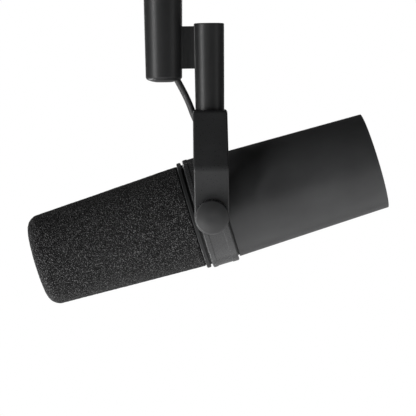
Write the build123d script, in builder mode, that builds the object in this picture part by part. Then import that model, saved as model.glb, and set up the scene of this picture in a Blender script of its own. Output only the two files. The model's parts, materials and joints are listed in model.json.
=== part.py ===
from build123d import *
from math import cos, pi, radians, sin, tan
import os

# A broadcast microphone: a tapered head that tilts in a strap yoke, under a cast stem which
# carries the connector barrel. Millimetres, +Z up, the origin at the mouth of the stand's
# thread in the top of the stem. The head's nose points along -X and the pivots lie along Y.

os.makedirs("parts", exist_ok=True)

# ------------------------------------------------------------------ driving dimensions

# Pivot and rest attitude
PIVOT_DROP = 99.8  # thread's mouth to the tilt axis
REST_TILT = 16.2  # nose-down angle of the head's axis
FIT = 0.06  # radial clearance of a running fit
GAP = 0.1  # between flat faces that slide on each other

# Cast stem, web and connector barrel, drafted downwards
STEM_TOP_R = 8.1
STEM_END_R = 7.7
STEM_LENGTH = 46.0
STEM_RIM_R = 0.6
BARREL_X = -24.3
BARREL_TOP = 17.4
BARREL_END = -31.1
BARREL_TOP_R = 10.35
BARREL_END_R = 9.7
BARREL_DOME = 1.8  # rise of the barrel's domed foot, from its flat middle to its side
BARREL_FLAT_R = 2.5
BARREL_NOSE_R = 2.0
WEB_TOP = -1.5
WEB_END = -24.0
WEB_THICK = 5.6
THREAD_R = 4.0  # minor radius of a 3/8 inch stand thread
THREAD_LENGTH = 15.0
BUSH_R = 6.0
BARREL_RIM_R = 0.6
WEB_ROOT_R = 1.2
CAVITY_R = 7.0  # hollow behind the connector, where the lead's wires turn
CAVITY_FOOT = -25.8
LEAD_HOLE = 14.0  # depth of the drilling through the barrel's foot, from the exit plane

# Three-pin connector
INSERT_R = 8.55
SOCKET_R = 7.9
SOCKET_FLOOR = 2.2
PIN_R = 1.2
PIN_CIRCLE_R = 4.1
PIN_TIP = 12.8
PIN_FOOT = -7.8
PIN_TIP_R = 0.8
INSERT_FOOT = -4.8
INSERT_TOP = 15.0
KEY_DEPTH = 1.4
KEY_WIDTH = 2.4
KEY_HEIGHT = 9.0
KEY_ROOT = 0.2  # from the socket's wall to the key's back
RETAINER_Z = 11.8
RETAINER_R = 1.0
RETAINER_LENGTH = 1.1
RETAINER_HOLE = 6.0  # drilled in from the front of the barrel
RETAINER_TAIL = 1.0  # depth of that hole in the insert

# Strap yoke
STRAP_WIDTH = 18.2
STRAP_THICK = 3.0
BRIDGE_HALF = 12.5
ARM_OUTER = 35.6
BEND_Z = -75.3
BEND_R = 5.0
STRAP_EDGE_R = 0.9
STRAP_END_DROP = 1.0  # centre of the strap's rounded end, below the pivot
LEAD_NOTCH_X = -8.8  # centre of the relief in the bridge's front edge, where the lead passes
LEAD_NOTCH_LENGTH = 2.0
ARM_BELOW = 25.0  # the strap's blank below the pivot, before its end is rounded
SCREW_R = 3.0
SCREW_REACH = 15.0  # depth of its hole in the stem
SCREW_LENGTH = 17.0
SCREW_HEAD_R = 4.6
SCREW_HEAD = 2.6
SCREW_KEY = 2.0
SCREW_KEY_DEPTH = 1.6
SCREW_CHAMFER = 0.5
WASHER_R = 5.4
WASHER_THICK = 1.0
HOLE_PLAY = 0.2
OVERCUT = 1.0  # how far a cut runs past the faces that it goes through

# Head, as stations along its axis from the pivot, positive to the rear
FOAM_FRONT = -97.15
FOAM_END = -10.8
FOAM_FRONT_R = 24.35
FOAM_END_R = 27.8
CAGE_FRONT = -87.0
CAGE_R = 20.0
BASE_START = -10.7
BASE_END = -8.5
BASE_R = 29.2
BAND_START = -7.4
BAND_END = 7.0
BAND_R = 29.9
BAND_WAIST_R = 29.6
FRONT_LIP = 2.5  # widths of the band's raised lips
REAR_LIP = 3.4
BAND_STEP = 0.35  # width of the slope between a lip and the waist
BAND_CHAMFER = 0.5
BAND_BORE_R = 24.0
SHELL_START = 7.8
SHELL_END = 91.3
SHELL_START_R = 28.1
SHELL_END_R = 26.0
SHELL_WALL = 2.2
PLATE_START = 88.7
PLATE_THICK = 1.6
PLATE_R = 23.65

# Pivots and lock knobs, as distances from the middle plane
STUD_R = 3.0
PAD_FACE = 31.0
PAD_R = 6.9
KNOB_START = 36.5
KNOB_END = 48.2
KNOB_R = 8.6
KNOB_RIM_R = 0.7
KNOB_CROWN = 1.1  # rise of the knob's domed face
KNOB_FLAT_R = 1.5  # flat spot in the middle of that face
STUD_END = 45.0

# Lead
LEAD_R = 1.75
LEAD_ENTRY = 11.6  # station where the lead enters the head
LEAD_DROP_IN = 4.2  # height above the shell at which the lead turns down into the head
LEAD_PLAY = 0.3  # between the lead and its grommets
BEND_SHARE = 0.45  # part of a run that one bend of the lead may take up
NOTCH_PLAY = 0.4
GROMMET_R = 2.5
EXIT_SETBACK = 7.5  # from the barrel's mouth for the lead back to the drilling's start
EXIT_GROMMET_SEAT = 3.8
EXIT_GROMMET_LENGTH = 3.2

# ------------------------------------------------------------------ planes and helpers

UPWARDS = (Align.CENTER, Align.CENTER, Align.MIN)
pivot = Vector(0, 0, -PIVOT_DROP)
nose_down = radians(REST_TILT)
rearward = Vector(cos(nose_down), 0, sin(nose_down))
upward = Vector(-sin(nose_down), 0, cos(nose_down))
head_axis = Axis(pivot, rearward)
head = Plane(origin=pivot, x_dir=(0, 1, 0), z_dir=rearward)  # x sideways, y upwards, z rearward
profile = Plane(origin=pivot, x_dir=(0, 1, 0), z_dir=rearward.cross(Vector(0, -1, 0)))  # x radius, y station
pivot_plane = Plane(origin=pivot, x_dir=(1, 0, 0), z_dir=(0, -1, 0))  # x forward and back, y up


def turn(points, plane=profile, axis=head_axis, mode=Mode.ADD):
    """Revolve a closed outline of (radius, station) corners."""
    with BuildSketch(plane, mode=Mode.PRIVATE) as outline:
        with BuildLine():
            Polyline(*points, close=True)
        make_face()
    revolve(outline.sketch, axis=axis, mode=mode)


def ring(inner, outer, start, end, mode=Mode.ADD):
    """A plain ring about the head's axis."""
    turn([(inner, start), (outer, start), (outer, end), (inner, end)], mode=mode)


def drill(plane, spots, radius, depth, mode=Mode.SUBTRACT):
    """Round holes, or pins, from a plane along its normal."""
    with BuildSketch(plane, mode=Mode.PRIVATE) as circles:
        with Locations(*spots):
            Circle(radius)
    extrude(circles.sketch, amount=depth, mode=mode)


def block(width, height, start, end, across=0.0, up=0.0, mode=Mode.ADD):
    """A box in the head: width sideways, height upwards, between two stations."""
    with BuildSketch(head.offset(start), mode=Mode.PRIVATE) as section:
        with Locations((across, up)):
            Rectangle(width, height)
    extrude(section.sketch, amount=end - start, mode=mode)


def shell_radius(station):
    """Outer radius of the rear shell at a station."""
    along = (station - SHELL_START) / (SHELL_END - SHELL_START)
    return SHELL_START_R + (SHELL_END_R - SHELL_START_R) * along


def foam_radius(station):
    """Outer radius of the windscreen at a station."""
    along = (station - FOAM_FRONT) / (FOAM_END - FOAM_FRONT)
    return FOAM_FRONT_R + (FOAM_END_R - FOAM_FRONT_R) * along


def pivot_face(side, distance):
    """A plane facing away from the head, at a distance along the pivots."""
    return Plane(origin=(0, side * distance, pivot.Z), x_dir=(1, 0, 0), z_dir=(0, side, 0))


def head_point(up, station):
    """A point of the middle plane, in the part's own frame."""
    return pivot + rearward * station + upward * up


# ------------------------------------------------------------------ stem and connector

barrel_plane = Plane(origin=(BARREL_X, 0, 0), x_dir=(1, 0, 0), z_dir=(0, -1, 0))
barrel_axis = Axis((BARREL_X, 0, 0), (0, 0, 1))

# Route of the lead: from the connector, out of the barrel's foot and down into the head
lead_mouth = head_point(shell_radius(LEAD_ENTRY), LEAD_ENTRY)
lead_route = [
    Vector(-24.2, 0, -10.8),
    Vector(-22.6, 0, -20.3),
    Vector(-17.0, 0, -30.2),
    Vector(-11.35, 0, -41.2),
    Vector(-8.0, 0, -51.1),
    Vector(-3.0, 0, -59.1),
    lead_mouth + upward * LEAD_DROP_IN,
    head_point(18.5, LEAD_ENTRY),
    head_point(8.6, LEAD_ENTRY + 3.6),
    head_point(0.8, LEAD_ENTRY + 10.5),
]
exit_way = (lead_route[2] - lead_route[1]).normalized()
exit_plane = Plane(origin=lead_route[2] - exit_way * EXIT_SETBACK, z_dir=exit_way)

retainer_seat = Plane(origin=(BARREL_X - INSERT_R, 0, RETAINER_Z), x_dir=(0, 1, 0), z_dir=(-1, 0, 0))

with BuildPart() as mount_casting:
    turn(
        [(0, 0), (STEM_TOP_R, 0), (STEM_END_R, -STEM_LENGTH), (0, -STEM_LENGTH)],
        plane=Plane.XZ,
        axis=Axis.Z,
    )
    fillet(mount_casting.edges().group_by(Axis.Z)[-1], STEM_RIM_R)
    with BuildSketch(Plane.XZ.offset(-WEB_THICK / 2)):
        with Locations((BARREL_X / 2, (WEB_TOP + WEB_END) / 2)):
            Rectangle(-BARREL_X, WEB_TOP - WEB_END)
    extrude(amount=WEB_THICK)
    with BuildSketch(barrel_plane) as barrel_outline:
        with BuildLine():
            foot = TangentArc(
                (BARREL_FLAT_R, BARREL_END),
                (BARREL_END_R, BARREL_END + BARREL_DOME),
                tangent=(1, 0),
            )
            Polyline(foot @ 1, (BARREL_TOP_R, BARREL_TOP), (0, BARREL_TOP), (0, BARREL_END), foot @ 0)
        make_face()
        fillet(barrel_outline.vertices().group_by(Axis.X)[-1], BARREL_RIM_R)
        nose = barrel_outline.vertices().filter_by(lambda v: v.X > BARREL_END_R / 2 and v.Y < 0)
        fillet(nose, BARREL_NOSE_R)
    revolve(axis=barrel_axis)
    upright = mount_casting.edges().filter_by(lambda e: abs(e.tangent_at(0.5).Z) > 0.9)
    web_roots = upright.filter_by(lambda e: abs(abs(e.center().Y) - WEB_THICK / 2) < 0.01)
    fillet(web_roots, WEB_ROOT_R)
    drill(Plane.XY.offset(-THREAD_LENGTH), [(0, 0)], BUSH_R, THREAD_LENGTH)
    drill(Plane.XY.offset(-STEM_LENGTH), [(0, 0)], SCREW_R, SCREW_REACH)
    drill(Plane.XY.offset(INSERT_FOOT), [(BARREL_X, 0)], INSERT_R, BARREL_TOP - INSERT_FOOT)
    drill(Plane.XY.offset(CAVITY_FOOT), [(BARREL_X, 0)], CAVITY_R, INSERT_FOOT - CAVITY_FOOT)
    drill(exit_plane, [(0, 0)], GROMMET_R, LEAD_HOLE)
    drill(retainer_seat.offset(-RETAINER_TAIL), [(0, 0)], RETAINER_R, RETAINER_HOLE)

mount_casting.part.label = "mount_casting"
export_step(mount_casting.part, "parts/mount_casting.step")

with BuildPart() as thread_insert:
    drill(Plane.XY.offset(-THREAD_LENGTH), [(0, 0)], BUSH_R, THREAD_LENGTH, mode=Mode.ADD)
    drill(Plane.XY.offset(-THREAD_LENGTH), [(0, 0)], THREAD_R, THREAD_LENGTH)

thread_insert.part.label = "thread_insert"
export_step(thread_insert.part, "parts/thread_insert.step")

with BuildPart() as connector_insert:
    drill(Plane.XY.offset(INSERT_FOOT), [(BARREL_X, 0)], INSERT_R, INSERT_TOP - INSERT_FOOT, mode=Mode.ADD)
    drill(Plane.XY.offset(SOCKET_FLOOR), [(BARREL_X, 0)], SOCKET_R, BARREL_TOP)
    with Locations((BARREL_X, 0, INSERT_FOOT)):
        with PolarLocations(PIN_CIRCLE_R, 3, start_angle=90):
            Cylinder(PIN_R, PIN_TIP - INSERT_FOOT, align=UPWARDS, mode=Mode.SUBTRACT)
    with Locations((BARREL_X + SOCKET_R - KEY_ROOT, 0, SOCKET_FLOOR)):
        Box(KEY_DEPTH, KEY_WIDTH, KEY_HEIGHT, align=(Align.MAX, Align.CENTER, Align.MIN))

connector_insert.part.label = "connector_insert"
export_step(connector_insert.part, "parts/connector_insert.step")

with BuildPart() as connector_pins:
    with Locations((BARREL_X, 0, PIN_FOOT)):
        with PolarLocations(PIN_CIRCLE_R, 3, start_angle=90):
            Cylinder(PIN_R, PIN_TIP - PIN_FOOT, align=UPWARDS)
    fillet(connector_pins.edges().group_by(Axis.Z)[-1], PIN_TIP_R)

connector_pins.part.label = "connector_pins"
export_step(connector_pins.part, "parts/connector_pins.step")

with BuildPart() as connector_screw:
    drill(retainer_seat, [(0, 0)], RETAINER_R, RETAINER_LENGTH, mode=Mode.ADD)

connector_screw.part.label = "connector_screw"
export_step(connector_screw.part, "parts/connector_screw.step")

with BuildPart() as barrel_grommet:
    drill(exit_plane.offset(EXIT_GROMMET_SEAT), [(0, 0)], GROMMET_R, EXIT_GROMMET_LENGTH, mode=Mode.ADD)
    drill(exit_plane, [(0, 0)], LEAD_R + LEAD_PLAY, LEAD_HOLE)

barrel_grommet.part.label = "barrel_grommet"
export_step(barrel_grommet.part, "parts/barrel_grommet.step")

# Each bend is as large as the shorter of its two runs leaves room for
bends = []
for before, corner, after in zip(lead_route, lead_route[1:], lead_route[2:]):
    half_turn = radians((corner - before).get_angle(after - corner)) / 2
    bends.append(BEND_SHARE * min((corner - before).length, (after - corner).length) / tan(half_turn))
print("lead bend radii, mm:", [round(bend, 1) for bend in bends])

with BuildPart() as lead_cable:
    with BuildLine() as lead_line:
        FilletPolyline(*lead_route, radius=bends)
    with BuildSketch(Plane(origin=lead_line.line @ 0, z_dir=lead_line.line % 0)):
        Circle(LEAD_R)
    sweep()

lead_length = sum(edge.length for edge in lead_line.edges())
print("lead length, mm:", round(lead_length, 1))
print("lead volume over section times length:", lead_cable.part.volume / (pi * LEAD_R**2 * lead_length))
lead_cable.part.label = "lead_cable"
export_step(lead_cable.part, "parts/lead_cable.step")

# ------------------------------------------------------------------ strap yoke


INSIDE = Vector(0, 0, BEND_Z + BEND_R)  # a point between the strap's arms
SIDEWAYS_LIMIT = 0.1
DOWNWARD_LIMIT = -0.3


def faces_out(face):
    """True for the strap's outer skin, but not for its rounded ends."""
    middle = face.center()
    normal = face.normal_at(middle)
    outward = normal.dot(middle - INSIDE) > 0
    return outward and abs(normal.X) < SIDEWAYS_LIMIT and normal.Z > DOWNWARD_LIMIT


with BuildPart() as yoke_bracket:
    with BuildSketch(Plane.YZ) as strap:
        with BuildLine():
            Polyline(
                (-BRIDGE_HALF, -STEM_LENGTH),
                (BRIDGE_HALF, -STEM_LENGTH),
                (ARM_OUTER, BEND_Z),
                (ARM_OUTER, pivot.Z - ARM_BELOW),
                (-ARM_OUTER, pivot.Z - ARM_BELOW),
                (-ARM_OUTER, BEND_Z),
                close=True,
            )
        make_face()
        fillet(strap.vertices().filter_by(lambda v: v.Y > BEND_Z - 1), BEND_R)
        offset(amount=-STRAP_THICK, kind=Kind.INTERSECTION, mode=Mode.SUBTRACT)
    extrude(amount=STRAP_WIDTH / 2, both=True)
    with BuildSketch(pivot_plane) as side_view:
        with Locations((0, -STRAP_END_DROP)):
            Circle(STRAP_WIDTH / 2)
            Rectangle(STRAP_WIDTH, PIVOT_DROP, align=(Align.CENTER, Align.MIN))
    extrude(amount=ARM_OUTER + OVERCUT, both=True, mode=Mode.INTERSECT)
    skin = yoke_bracket.faces().filter_by(faces_out)
    rim = skin.edges().filter_by(lambda e: abs(e.tangent_at(0.5).X) < 0.99 or e.center().Z < pivot.Z)
    fillet(rim, STRAP_EDGE_R)
    drill(pivot_plane.offset(-ARM_OUTER - OVERCUT), [(0, 0)], STUD_R + FIT, 2 * (ARM_OUTER + OVERCUT))
    drill(Plane.XY.offset(-STEM_LENGTH - STRAP_THICK), [(0, 0)], SCREW_R + HOLE_PLAY, STRAP_THICK)
    with BuildSketch(Plane.XY.offset(-STEM_LENGTH)):
        with Locations((LEAD_NOTCH_X, 0)):
            Circle(LEAD_R + NOTCH_PLAY)
        with Locations((LEAD_NOTCH_X, 0)):
            Rectangle(LEAD_NOTCH_LENGTH, 2 * (LEAD_R + NOTCH_PLAY), align=(Align.MAX, Align.CENTER))
    extrude(amount=-STRAP_THICK, mode=Mode.SUBTRACT)

yoke_bracket.part.label = "yoke_bracket"
export_step(yoke_bracket.part, "parts/yoke_bracket.step")

bridge_under = -STEM_LENGTH - STRAP_THICK

with BuildPart() as bridge_washer:
    drill(Plane.XY.offset(bridge_under - WASHER_THICK), [(0, 0)], WASHER_R, WASHER_THICK, mode=Mode.ADD)
    drill(Plane.XY.offset(bridge_under - WASHER_THICK), [(0, 0)], SCREW_R + HOLE_PLAY, WASHER_THICK)

bridge_washer.part.label = "bridge_washer"
export_step(bridge_washer.part, "parts/bridge_washer.step")

screw_seat = bridge_under - WASHER_THICK

with BuildPart() as bridge_screw:
    drill(Plane.XY.offset(screw_seat), [(0, 0)], SCREW_R, SCREW_LENGTH, mode=Mode.ADD)
    drill(Plane.XY.offset(screw_seat - SCREW_HEAD), [(0, 0)], SCREW_HEAD_R, SCREW_HEAD, mode=Mode.ADD)
    chamfer(bridge_screw.edges().group_by(Axis.Z)[0], SCREW_CHAMFER)
    with BuildSketch(Plane.XY.offset(screw_seat - SCREW_HEAD)):
        RegularPolygon(SCREW_KEY, 6, major_radius=False)
    extrude(amount=SCREW_KEY_DEPTH, mode=Mode.SUBTRACT)

bridge_screw.part.label = "bridge_screw"
export_step(bridge_screw.part, "parts/bridge_screw.step")

# ------------------------------------------------------------------ yoke band and pivots

LIP_START = -5.2  # inner lip that the bulkhead is clamped against
LIP_END = LIP_START + 1
LIP_R = 22.5
PAD_ROOT = 24.5
SPIGOT_R = 25.65
SPIGOT_END = 8.6

with BuildPart() as yoke_band:
    turn(
        [
            (BAND_BORE_R, BAND_START),
            (BAND_R - BAND_CHAMFER, BAND_START),
            (BAND_R, BAND_START + BAND_CHAMFER),
            (BAND_R, BAND_START + FRONT_LIP),
            (BAND_WAIST_R, BAND_START + FRONT_LIP + BAND_STEP),
            (BAND_WAIST_R, BAND_END - REAR_LIP - BAND_STEP),
            (BAND_R, BAND_END - REAR_LIP),
            (BAND_R, BAND_END - BAND_CHAMFER),
            (BAND_R - BAND_CHAMFER, BAND_END),
            (SPIGOT_R, BAND_END),
            (SPIGOT_R, SPIGOT_END),
            (BAND_BORE_R, SPIGOT_END),
            (BAND_BORE_R, LIP_END),
            (LIP_R, LIP_END),
            (LIP_R, LIP_START),
            (BAND_BORE_R, LIP_START),
        ]
    )
    for side in (-1, 1):
        drill(pivot_face(side, PAD_ROOT), [(0, 0)], PAD_R, PAD_FACE - PAD_ROOT, mode=Mode.ADD)
    ring(0, BAND_BORE_R, LIP_END, SPIGOT_END, mode=Mode.SUBTRACT)
    drill(pivot_plane.offset(-PAD_FACE), [(0, 0)], STUD_R, 2 * PAD_FACE)

yoke_band.part.label = "yoke_band"
export_step(yoke_band.part, "parts/yoke_band.step")

FLANGE_START = 21.9
FLANGE_THICK = 1.5
FLANGE_R = 4.0
STUD_CHAMFER = 0.5

with BuildPart() as pivot_studs:
    for side in (-1, 1):
        stud_root = pivot_face(side, FLANGE_START)
        drill(stud_root, [(0, 0)], STUD_R, STUD_END - FLANGE_START, mode=Mode.ADD)
        drill(stud_root, [(0, 0)], FLANGE_R, FLANGE_THICK, mode=Mode.ADD)
    ends = pivot_studs.edges().filter_by(lambda e: abs(abs(e.center().Y) - STUD_END) < 0.01)
    chamfer(ends, STUD_CHAMFER)

pivot_studs.part.label = "pivot_studs"
export_step(pivot_studs.part, "parts/pivot_studs.step")

FRICTION_R = 8.2
FRICTION_THICK = ARM_OUTER - STRAP_THICK - GAP - PAD_FACE

with BuildPart() as friction_washers:
    for side in (-1, 1):
        drill(pivot_face(side, PAD_FACE), [(0, 0)], FRICTION_R, FRICTION_THICK, mode=Mode.ADD)
        drill(pivot_face(side, PAD_FACE), [(0, 0)], STUD_R + FIT, FRICTION_THICK)

friction_washers.part.label = "friction_washers"
export_step(friction_washers.part, "parts/friction_washers.step")

# ------------------------------------------------------------------ lock knobs

THRUST_START = ARM_OUTER + GAP
THRUST_PLAY = 0.05
THRUST_THICK = KNOB_START - THRUST_START - THRUST_PLAY
THRUST_R = 7.8
BUSH_PLAY = 0.2
BUSH_END = STUD_END + BUSH_PLAY
KNOB_BUSH_R = 4.6
FLUTES = 30
FLUTE_R = 0.5
FLUTE_START = 1.6  # plain collars at the flutes' inner and outer ends
FLUTE_LENGTH = 7.0

for name, side in (("near", -1), ("far", 1)):
    thrust_seat = pivot_face(side, THRUST_START)
    knob_seat = pivot_face(side, KNOB_START)

    with BuildPart() as thrust_washer:
        drill(thrust_seat, [(0, 0)], THRUST_R, THRUST_THICK, mode=Mode.ADD)
        drill(thrust_seat, [(0, 0)], STUD_R + FIT, THRUST_THICK)

    thrust_washer.part.label = f"{name}_thrust_washer"
    export_step(thrust_washer.part, f"parts/{name}_thrust_washer.step")

    with BuildPart() as lock_knob:
        with BuildSketch(Plane(origin=pivot, x_dir=(1, 0, 0), z_dir=(0, 0, side))) as knob_outline:
            with BuildLine():
                crown = TangentArc((KNOB_FLAT_R, KNOB_END), (KNOB_R, KNOB_END - KNOB_CROWN), tangent=(1, 0))
                Polyline(crown @ 1, (KNOB_R, KNOB_START), (0, KNOB_START), (0, KNOB_END), crown @ 0)
            make_face()
            fillet(knob_outline.vertices().group_by(Axis.X)[-1].sort_by(Axis.Y)[-1], KNOB_RIM_R)
        revolve(axis=Axis(pivot, (0, 1, 0)))
        drill(knob_seat, [(0, 0)], KNOB_BUSH_R, BUSH_END - KNOB_START)
        with BuildSketch(knob_seat.offset(FLUTE_START)):
            with PolarLocations(KNOB_R + FLUTE_R / 4, FLUTES):
                Circle(FLUTE_R)
        extrude(amount=FLUTE_LENGTH, mode=Mode.SUBTRACT)

    lock_knob.part.label = f"{name}_lock_knob"
    export_step(lock_knob.part, f"parts/{name}_lock_knob.step")

    with BuildPart() as knob_bush:
        drill(knob_seat, [(0, 0)], KNOB_BUSH_R, BUSH_END - KNOB_START, mode=Mode.ADD)
        drill(knob_seat, [(0, 0)], STUD_R + FIT, BUSH_END - KNOB_START)

    knob_bush.part.label = f"{name}_knob_bush"
    export_step(knob_bush.part, f"parts/{name}_knob_bush.step")

# ------------------------------------------------------------------ front joint and grille

GRILLE_SCREW_RING = 22.0
HEAD_R = 2.0
HEAD_THICK = 1.2
SHANK_R = 1.1
GASKET_BORE_R = 18.0
GASKET_R = 27.7
BASE_BORE_R = 15.2
BASE_CHAMFER = 0.35
BULKHEAD_BORE_R = 5.0

with BuildPart() as band_gasket:
    ring(GASKET_BORE_R, GASKET_R, BASE_END, BAND_START)
    with BuildSketch(head.offset(BASE_END)):
        with PolarLocations(GRILLE_SCREW_RING, 3, start_angle=90):
            Circle(SHANK_R)
    extrude(amount=BAND_START - BASE_END, mode=Mode.SUBTRACT)

band_gasket.part.label = "band_gasket"
export_step(band_gasket.part, "parts/band_gasket.step")

with BuildPart() as grille_base:
    ring(BASE_BORE_R, BASE_R, BASE_START, BASE_END)
    with BuildSketch(head.offset(BASE_START)):
        with PolarLocations(GRILLE_SCREW_RING, 3, start_angle=90):
            Circle(SHANK_R)
    extrude(amount=BASE_END - BASE_START, mode=Mode.SUBTRACT)
    with BuildSketch(head.offset(BASE_START)):
        with PolarLocations(GRILLE_SCREW_RING, 3, start_angle=90):
            Circle(HEAD_R)
    extrude(amount=HEAD_THICK, mode=Mode.SUBTRACT)
    round_edges = grille_base.edges().filter_by(GeomType.CIRCLE)
    chamfer(round_edges.filter_by(lambda e: abs(e.radius - BASE_R) < 0.01), BASE_CHAMFER)

grille_base.part.label = "grille_base"
export_step(grille_base.part, "parts/grille_base.step")

BULKHEAD_END = LIP_START

with BuildPart() as bulkhead:
    ring(BULKHEAD_BORE_R, BAND_BORE_R, BAND_START, BULKHEAD_END)
    with BuildSketch(head.offset(BAND_START)):
        with PolarLocations(GRILLE_SCREW_RING, 3, start_angle=90):
            Circle(SHANK_R)
    extrude(amount=BULKHEAD_END - BAND_START, mode=Mode.SUBTRACT)

bulkhead.part.label = "bulkhead"
export_step(bulkhead.part, "parts/bulkhead.step")

with BuildPart() as grille_screws:
    with BuildSketch(head.offset(BASE_START)):
        with PolarLocations(GRILLE_SCREW_RING, 3, start_angle=90):
            Circle(HEAD_R)
    extrude(amount=HEAD_THICK)
    with BuildSketch(head.offset(BASE_START)):
        with PolarLocations(GRILLE_SCREW_RING, 3, start_angle=90):
            Circle(SHANK_R)
    extrude(amount=BULKHEAD_END - BASE_START)

grille_screws.part.label = "grille_screws"
export_step(grille_screws.part, "parts/grille_screws.step")

CAGE_BAR = 1.1
CAGE_END_HOOP = 2.4
CAGE_HOOP = 1.6
CAGE_HOOPS = (-63.0, -38.0)  # stations of the two middle hoops
RIBS = 12
RIB_WIDTH = 1.6
SPOKES = 6
SPOKE_START = 2.0
SPOKE_LENGTH = 15.0
SPOKE_WIDTH = 1.5
HUB_R = 3.0
MIDDLE_HOOP_R = 11.0  # the front's middle ring
FRONT_RIM = 4.0

with BuildPart() as grille_cage:
    ring(CAGE_R - CAGE_BAR, CAGE_R, CAGE_FRONT, CAGE_FRONT + CAGE_END_HOOP)
    ring(CAGE_R - CAGE_BAR, CAGE_R, BASE_START - CAGE_END_HOOP, BASE_START)
    for hoop_start in CAGE_HOOPS:
        ring(CAGE_R - CAGE_BAR, CAGE_R, hoop_start, hoop_start + CAGE_HOOP)
    ring(CAGE_R - FRONT_RIM, CAGE_R, CAGE_FRONT, CAGE_FRONT + CAGE_BAR)
    ring(0, HUB_R, CAGE_FRONT, CAGE_FRONT + CAGE_BAR)
    ring(MIDDLE_HOOP_R - CAGE_HOOP, MIDDLE_HOOP_R, CAGE_FRONT, CAGE_FRONT + CAGE_BAR)
    with BuildSketch(head.offset(CAGE_FRONT)):
        with PolarLocations(SPOKE_START + SPOKE_LENGTH / 2, SPOKES, start_angle=90):
            Rectangle(SPOKE_LENGTH, SPOKE_WIDTH)
    extrude(amount=CAGE_BAR)
    with BuildSketch(head.offset(CAGE_FRONT)):
        with PolarLocations(CAGE_R - CAGE_BAR / 2, RIBS):
            Rectangle(FRONT_RIM, RIB_WIDTH)
        Circle(CAGE_R, mode=Mode.INTERSECT)
        Circle(CAGE_R - CAGE_BAR, mode=Mode.SUBTRACT)
    extrude(amount=BASE_START - CAGE_FRONT)

grille_cage.part.label = "grille_cage"
export_step(grille_cage.part, "parts/grille_cage.step")

MESH_R = 18.8
MESH_WALL = 0.4
MESH_FRONT = CAGE_FRONT + CAGE_BAR
MESH_BORE_R = MESH_R - MESH_WALL
POP_DISC_END = -80.6

with BuildPart() as grille_mesh:
    ring(0, MESH_R, MESH_FRONT, BASE_START)
    ring(0, MESH_BORE_R, MESH_FRONT + MESH_WALL, BASE_START, mode=Mode.SUBTRACT)

grille_mesh.part.label = "grille_mesh"
export_step(grille_mesh.part, "parts/grille_mesh.step")

with BuildPart() as pop_disc:
    ring(0, MESH_BORE_R - GAP, MESH_FRONT + MESH_WALL, POP_DISC_END)

pop_disc.part.label = "pop_disc"
export_step(pop_disc.part, "parts/pop_disc.step")

# ------------------------------------------------------------------ foam windscreen

FOAM_CORNER_R = 6.8
FOAM_DOME = 0.7
FOAM_HEEL_R = 1.0
FOAM_BORE_R = CAGE_R + 0.4
FOAM_BORE_FRONT = CAGE_FRONT - 0.5

with BuildPart() as foam_windscreen:
    with BuildSketch(profile) as foam_outline:
        with BuildLine():
            rim_z = FOAM_FRONT + FOAM_DOME
            rim_r = foam_radius(rim_z)
            dome = ThreePointArc((0, FOAM_FRONT), (rim_r / 2, FOAM_FRONT + FOAM_DOME / 4), (rim_r, rim_z))
            Polyline(
                dome @ 1,
                (foam_radius(FOAM_END), FOAM_END),
                (FOAM_BORE_R, FOAM_END),
                (FOAM_BORE_R, FOAM_BORE_FRONT),
                (0, FOAM_BORE_FRONT),
                dome @ 0,
            )
        make_face()
        heel = foam_outline.vertices().filter_by(lambda v: v.X > FOAM_END_R - 0.5)
        fillet(heel, FOAM_HEEL_R)
        nose = foam_outline.vertices().filter_by(lambda v: v.X > 22 and v.Y < FOAM_FRONT + 3)
        fillet(nose, FOAM_CORNER_R)
    revolve(axis=head_axis)

foam_windscreen.part.label = "foam_windscreen"
export_step(foam_windscreen.part, "parts/foam_windscreen.step")

# ------------------------------------------------------------------ moving-coil capsule

CUP_R = 10.8
CUP_BACK = -65.0
CUP_FLOOR = -67.0
CUP_WALL_R = 8.6
CUP_SLOT_R = 7.3  # outer side of the gap that the coil moves in
POLE_R = 6.3
POLE_BACK = -72.8
POLE_FRONT = -75.0
MAGNET_R = 5.8
TUBE_R = 13.6
TUBE_BORE_R = 12.4
TUBE_FRONT = -72.0
TUBE_END = -12.0
CASE_LEDGE = -68.0
CASE_FRONT = -80.0
CASE_MOUTH_R = 12.6
DIAPHRAGM_SEAT = -77.2

with BuildPart() as capsule_case:
    turn(
        [
            (CUP_R, CASE_LEDGE),
            (TUBE_BORE_R, CASE_LEDGE),
            (TUBE_BORE_R, TUBE_FRONT),
            (TUBE_R, TUBE_FRONT),
            (TUBE_R, CASE_FRONT),
            (CASE_MOUTH_R, CASE_FRONT),
            (CASE_MOUTH_R, DIAPHRAGM_SEAT),
            (CUP_R, DIAPHRAGM_SEAT),
        ]
    )

capsule_case.part.label = "capsule_case"
export_step(capsule_case.part, "parts/capsule_case.step")

with BuildPart() as magnet_cup:
    turn(
        [
            (0, CUP_BACK),
            (CUP_R, CUP_BACK),
            (CUP_R, POLE_FRONT),
            (CUP_SLOT_R, POLE_FRONT),
            (CUP_SLOT_R, POLE_FRONT + 2),
            (CUP_WALL_R, POLE_FRONT + 2),
            (CUP_WALL_R, CUP_FLOOR),
            (0, CUP_FLOOR),
        ]
    )

magnet_cup.part.label = "magnet_cup"
export_step(magnet_cup.part, "parts/magnet_cup.step")

with BuildPart() as magnet:
    ring(0, MAGNET_R, POLE_BACK, CUP_FLOOR)

magnet.part.label = "magnet"
export_step(magnet.part, "parts/magnet.step")

with BuildPart() as pole_piece:
    ring(0, POLE_R, POLE_FRONT, POLE_BACK)

pole_piece.part.label = "pole_piece"
export_step(pole_piece.part, "parts/pole_piece.step")

COIL_R = 7.0
COIL_BORE_R = 6.6
COIL_FRONT = -77.1
COIL_END = -73.2

with BuildPart() as voice_coil:
    ring(COIL_BORE_R, COIL_R, COIL_FRONT, COIL_END)

voice_coil.part.label = "voice_coil"
export_step(voice_coil.part, "parts/voice_coil.step")

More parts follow.
